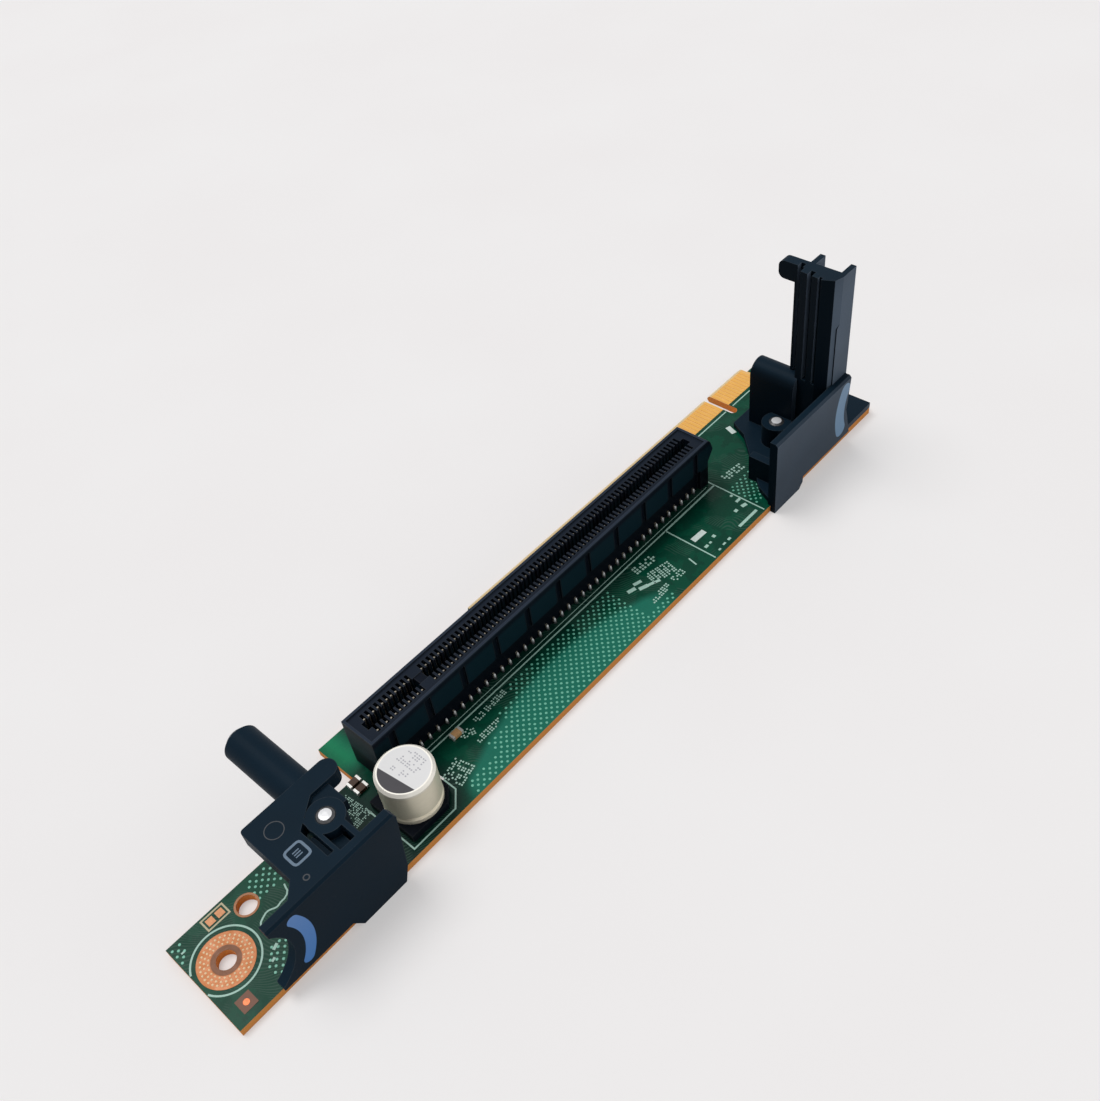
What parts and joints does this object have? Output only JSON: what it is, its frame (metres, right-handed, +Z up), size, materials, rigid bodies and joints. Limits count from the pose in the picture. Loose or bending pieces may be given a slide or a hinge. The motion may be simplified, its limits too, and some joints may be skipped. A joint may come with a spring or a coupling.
{
  "type": "pcie riser card",
  "caption": "Slim riser card: stepped circuit board with a card-edge tab, a long upright card slot, a can capacitor and two moulded brackets, one with a guide post, one with a tall arm.",
  "frame": {"origin": "axis of the fixing hole in the plane of the board's underside", "axes": "+X along the board from the fixing hole towards the arm bracket, +Y across the board towards the card-edge tab, +Z up through the board out of the slot's mouth"},
  "size_m": [0.1696, 0.0319, 0.0416],
  "materials": {
    "board_laminate": "green solder mask, glossy",
    "contact_gold": "gold plated",
    "slot_plastic": "satin moulded",
    "spring_metal": "plated spring strip",
    "bracket_plastic": "fine moulded grain",
    "rivet_steel": "bright",
    "can_aluminium": "satin",
    "seat_plastic": "moulded",
    "tinned_metal": "tinned",
    "chip_ceramic": "fired",
    "bare_copper": "copper with solder dots"
  },
  "bodies": {
    "root": {"circuit_board": "board_laminate", "edge_contacts_top": "contact_gold", "edge_contacts_bottom": "contact_gold", "slot_housing": "slot_plastic", "slot_contacts_near": "spring_metal", "slot_contacts_far": "spring_metal", "guide_bracket": "bracket_plastic", "arm_bracket": "bracket_plastic", "guide_bracket_rivet": "rivet_steel", "arm_bracket_rivet": "rivet_steel", "capacitor_can": "can_aluminium", "capacitor_seat": "seat_plastic", "capacitor_terminals": "tinned_metal", "ceramic_chips": "chip_ceramic", "chip_end_caps": "tinned_metal", "fixing_hole_land": "bare_copper", "tooling_hole_rim": "bare_copper", "fiducial_pad": "bare_copper", "test_pads": "tinned_metal"}
  },
  "joints": []
}
